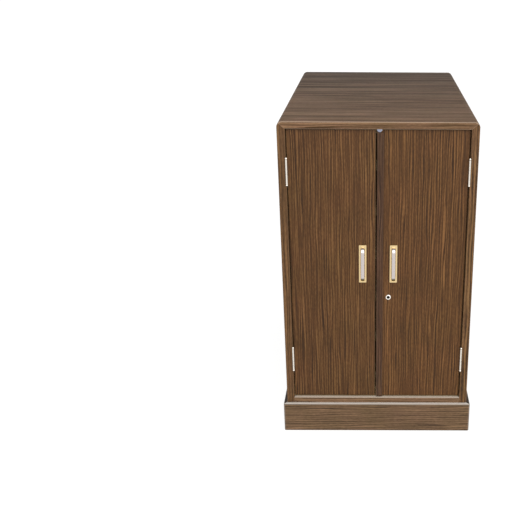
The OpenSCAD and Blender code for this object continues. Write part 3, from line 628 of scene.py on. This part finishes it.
# ---------- handles ----------
# A brass plate with a raised rim, gilt and brushed along its length to a pale, quiet gold, and
# a nickel-plated bow, drawn to a satin that carries the light in one long line. Where the bow
# looks down it is painted a dark olive: a painted dark reflection. Two screws from inside the
# door pull the bow against the plate.

gilt = plated("gilt_brass", "#dfc594", 0.26, 0.5 * MM, 0.3, brushed=(4.0, 1.0, 0.2))
# The bow's downward faces are painted dark olive: a painted dark reflection
satin = plated("satin_nickel", "#c9c0bd", 0.16, 0.5 * MM, 0.25, brushed=(4.0, 4.0, 0.15),
               under="#5c5330")
for side in ("left", "right"):
    dress(gilt, f"{side}_handle_plate")
    dress(satin, f"{side}_handle_bow")

# ---------- lock, bolts and catch ----------
# A rim lock screwed inside the right door, whose bolt goes into a keeper on the left door, a
# sliding bolt at the left door's top and foot, and a magnet in the case's top that holds the
# right door by a folded strike plate.

# Lacquer keeps the brass that hands touch a clean warm yellow
brass = plated("lacquered_brass", "#e3c68a", 0.26, 0.5 * MM, 0.3)
dress(brass, "lock_keeper", "upper_bolt_body", "lower_bolt_body", "upper_bolt_rod",
      "lower_bolt_rod", "lock_bolt")
# The ring is polished nearly white, round a keyhole whose mouth is painted black: painted shade in
# the hole, and dirt from use
low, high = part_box("key_plug")
middle = [(a + b) / 2 for a, b in zip(low, high)]
MOUTH = 3.4 * MM
dress(plated("polished_nickel_ring", "#faf5ec", 0.14, 0.5 * MM, 0.15,
             mouth=(middle[0], middle[2], MOUTH)), "lock_ring")
# Plain rolled brass, dull because nobody polishes it, and the plug's, painted nearly black:
# painted shade in the keyhole, and oil
dress(plated("lock_case_brass", "#bda878", 0.4, 0.8 * MM, 0.5), "lock_case")
dress(plated("worn_plug_brass", "#1c170f", 0.5, 0.4 * MM, 0.5), "key_plug")
# Polished steel is colder than nickel, and the magnet's black plate is matt
dress(plated("polished_strike_steel", "#989cac", 0.18, 0.5 * MM, 0.2), "catch_strike")
dress(plated("black_magnet", "#2e2a28", 0.5, 0.6 * MM, 0.5), "catch_magnet")

# ---------- studio ----------
# A white floor without an edge, soft lamps that light the chest at a plain level, and the
# camera where the photograph was taken from.

SKY = 0.42                              # how strongly the white world lights the chest
world = bpy.data.worlds.new("studio")
bpy.context.scene.world = world
world.use_nodes = True
tree = world.node_tree
tree.nodes.clear()


def shown(tree):
    """1 for rays from the camera and for those that metal or glass sends on, else 0."""
    seen = add(tree, "LightPath").outputs
    plain = add(tree, "Math", {0: seen["Is Camera Ray"], 1: seen["Is Glossy Ray"]},
                operation="MAXIMUM")
    return add(tree, "Math", {0: plain.outputs[0], 1: seen["Is Transmission Ray"]},
               operation="MAXIMUM").outputs[0]


strength = add(tree, "MapRange", {"Value": shown(tree), "To Min": SKY, "To Max": 1.0})
sky = add(tree, "Background", {"Color": (1, 1, 1, 1), "Strength": strength.outputs[0]})
add(tree, "OutputWorld", {"Surface": sky.outputs[0]})

mesh = bpy.data.meshes.new("floor")
FAR = 30.0                              # metres from the chest to the floor's edges
mesh.from_pydata([(-FAR, -FAR, 0), (FAR, -FAR, 0), (FAR, FAR, 0), (-FAR, FAR, 0)],
                 [], [(0, 1, 2, 3)])
floor = bpy.data.objects.new("floor", mesh)
bpy.context.scene.collection.objects.link(floor)
# White paper that shows as white and keeps a faint shadow, and sends half the light back up
paper, tree = blank("white_paper_floor")
seen = shown(tree)
grey = add(tree, "MapRange", {"Value": seen, "To Min": 0.5, "To Max": 0.25})
matt = add(tree, "BsdfDiffuse", {"Color": grey.outputs[0]})
glow = add(tree, "MapRange", {"Value": seen, "To Max": 0.9})
white = add(tree, "Emission", {"Strength": glow.outputs[0]})
lit = add(tree, "AddShader", {0: matt.outputs[0], 1: white.outputs[0]})
add(tree, "OutputMaterial", {"Surface": lit.outputs[0]})
mesh.materials.append(paper)


def lamp(name, kind, place, aim, energy, **settings):
    """A lamp at place that points at aim."""
    made = bpy.data.lights.new(name, kind)
    made.energy = energy
    for key, value in settings.items():
        setattr(made, key, value)
    held = bpy.data.objects.new(name, made)
    bpy.context.scene.collection.objects.link(held)
    held.location = place
    held.rotation_euler = (Vector(aim) - Vector(place)).to_track_quat("-Z", "Y").to_euler()
    return held


lamp("even_light", "SUN", (0.9, -2.6, 1.35), (0, 0, 0.3), 1.7, angle=math.radians(60))
# A weak fill for the back, which puts no shine on the top
fill = lamp("back_fill", "SUN", (-0.7, 2.6, 0.3), (0, 0, 0.3), 0.8, angle=math.radians(40))
fill.visible_glossy = False
lamp("front_softbox", "AREA", (0.5, -2.2, 2.5), (0, -0.3, 0.5), 18.0, size=1.5)

# Solved from the chest's outline in the photograph
PICTURE, CENTRE = 512, 377.7            # its width, and the column that the chest is centred on
LENS, SENSOR = 805, 36.0                # focal length in pixels, and the sensor's width in mm
EYE = (-0.0076, -1.9655, 1.0815)
DOWN, ASIDE, ROLL = 21.39, -0.27, 0.32  # how the camera is turned, in degrees
camera = bpy.data.cameras.new("camera")
camera.sensor_width = SENSOR
camera.lens = LENS * SENSOR / PICTURE
camera.shift_x = (PICTURE / 2 - CENTRE) / PICTURE
camera.clip_end = 100
holder = bpy.data.objects.new("camera", camera)
bpy.context.scene.collection.objects.link(holder)
pitch, yaw, roll = (math.radians(a) for a in (DOWN, ASIDE, ROLL))
forth = Vector((-math.sin(yaw), math.cos(yaw), 0))
right = Vector((math.cos(yaw), math.sin(yaw), 0))
up = math.sin(pitch) * forth + Vector((0, 0, math.cos(pitch)))
ahead = math.cos(pitch) * forth - Vector((0, 0, math.sin(pitch)))
rolled = math.cos(roll) * right + math.sin(roll) * up
upward = -math.sin(roll) * right + math.cos(roll) * up
turn = Matrix((rolled, upward, -ahead)).transposed()
holder.matrix_world = Matrix.Translation(EYE) @ turn.to_4x4()
bpy.context.scene.camera = holder
bpy.context.scene.view_settings.view_transform = "Standard"
